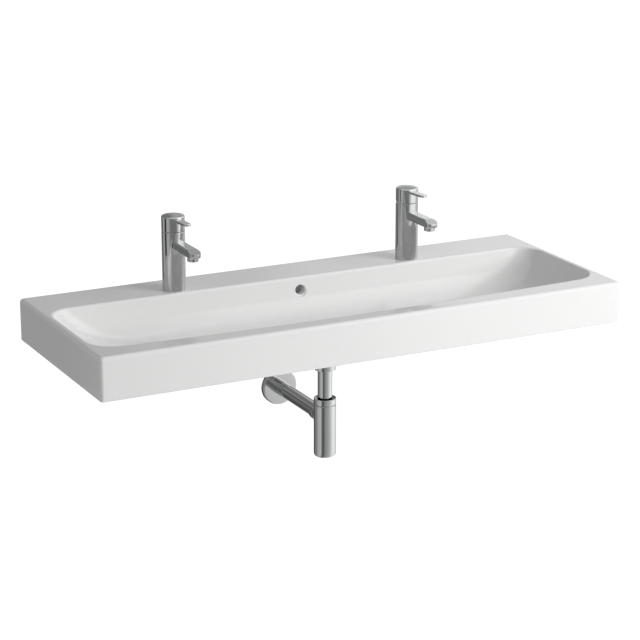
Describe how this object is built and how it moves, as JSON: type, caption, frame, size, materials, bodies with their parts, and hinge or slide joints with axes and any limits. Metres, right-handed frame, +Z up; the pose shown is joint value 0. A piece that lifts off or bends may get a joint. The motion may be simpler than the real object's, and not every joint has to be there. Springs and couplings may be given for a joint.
{
  "type": "washbasin",
  "caption": "Wide wall-hung white washbasin with a long bowl, single-lever chrome mixers on its rear deck, overflow, push-open waste and chrome bottle trap.",
  "frame": {"origin": "midpoint between the two wall bolt holes, on the wall plane", "axes": "+X to the right seen from the room, +Y into the wall, +Z up"},
  "size_m": [1.2, 0.49, 0.5375],
  "materials": {
    "glaze": "glossy white glaze",
    "chrome": "polished chrome plating",
    "seal_rubber": "matt black rubber",
    "brass": "turned brass",
    "zinc_steel": "zinc-plated steel",
    "spring_steel": "drawn spring wire",
    "pale_plastic": "moulded pale plastic",
    "disc_ceramic": "ground alumina"
  },
  "bodies": {
    "fixed": {"basin": "glaze", "waste_body": "chrome", "waste_top_seal": "seal_rubber", "waste_bottom_seal": "seal_rubber", "waste_lock_nut": "brass", "latch_barrel": "brass", "latch_spring": "spring_steel", "inlet_nut": "chrome", "inlet_seal": "seal_rubber", "inlet_tube": "chrome", "trap_top_ring": "chrome", "trap_top_seal": "seal_rubber", "trap_body": "chrome", "trap_cup": "chrome", "cup_seal": "seal_rubber", "outlet_nut": "chrome", "outlet_seal": "seal_rubber", "outlet_pipe": "chrome", "rosette": "chrome", "left_mixer_body": "chrome", "left_base_seal": "seal_rubber", "left_fixing_stud": "zinc_steel", "left_fixing_gasket": "seal_rubber", "left_fixing_plate": "zinc_steel", "left_fixing_nut": "brass", "left_aerator_housing": "chrome", "left_aerator_insert": "pale_plastic", "left_cartridge_housing": "pale_plastic", "left_fixed_disc": "disc_ceramic", "left_cartridge_seals": "seal_rubber", "left_cartridge_nut": "brass", "right_mixer_body": "chrome", "right_base_seal": "seal_rubber", "right_fixing_stud": "zinc_steel", "right_fixing_gasket": "seal_rubber", "right_fixing_plate": "zinc_steel", "right_fixing_nut": "brass", "right_aerator_housing": "chrome", "right_aerator_insert": "pale_plastic", "right_cartridge_housing": "pale_plastic", "right_fixed_disc": "disc_ceramic", "right_cartridge_seals": "seal_rubber", "right_cartridge_nut": "brass"},
    "plug": {"waste_plug": "chrome", "plug_seal": "seal_rubber", "plug_stem": "brass"},
    "left_swivel": {"left_carrier": "pale_plastic", "left_pivot_pin": "zinc_steel"},
    "left_disc": {"left_moving_disc": "disc_ceramic"},
    "left_handle": {"left_lever": "chrome", "left_stem": "brass", "left_set_screw": "zinc_steel"},
    "right_swivel": {"right_carrier": "pale_plastic", "right_pivot_pin": "zinc_steel"},
    "right_disc": {"right_moving_disc": "disc_ceramic"},
    "right_handle": {"right_lever": "chrome", "right_stem": "brass", "right_set_screw": "zinc_steel"}
  },
  "joints": [
    {"name": "plug_slide", "type": "slide", "parent": "fixed", "child": "plug", "axis": [0, 0, 1], "range_m": [0, 0.008], "deforming": ["latch_spring"]},
    {"name": "left_swivel", "type": "hinge", "parent": "fixed", "child": "left_swivel", "pos_m": [-0.282, -0.08, 0.174], "axis": [0, 0, 1], "range_deg": [-45, 45]},
    {"name": "left_lift", "type": "hinge", "parent": "left_swivel", "child": "left_handle", "pos_m": [-0.282, -0.08, 0.174], "axis": [-1, 0, 0], "range_deg": [0, 20]},
    {"name": "left_disc_slide", "type": "slide", "parent": "left_swivel", "child": "left_disc", "axis": [0, -1, 0], "range_m": [0, 0.0042]},
    {"name": "right_swivel", "type": "hinge", "parent": "fixed", "child": "right_swivel", "pos_m": [0.282, -0.08, 0.174], "axis": [0, 0, 1], "range_deg": [-45, 45]},
    {"name": "right_lift", "type": "hinge", "parent": "right_swivel", "child": "right_handle", "pos_m": [0.282, -0.08, 0.174], "axis": [-1, 0, 0], "range_deg": [0, 20]},
    {"name": "right_disc_slide", "type": "slide", "parent": "right_swivel", "child": "right_disc", "axis": [0, -1, 0], "range_m": [0, 0.0042]}
  ],
  "couplings": [
    {"joint": "left_disc_slide", "follows": "left_lift", "m_per_rad": 0.01176},
    {"joint": "right_disc_slide", "follows": "right_lift", "m_per_rad": 0.01176}
  ]
}
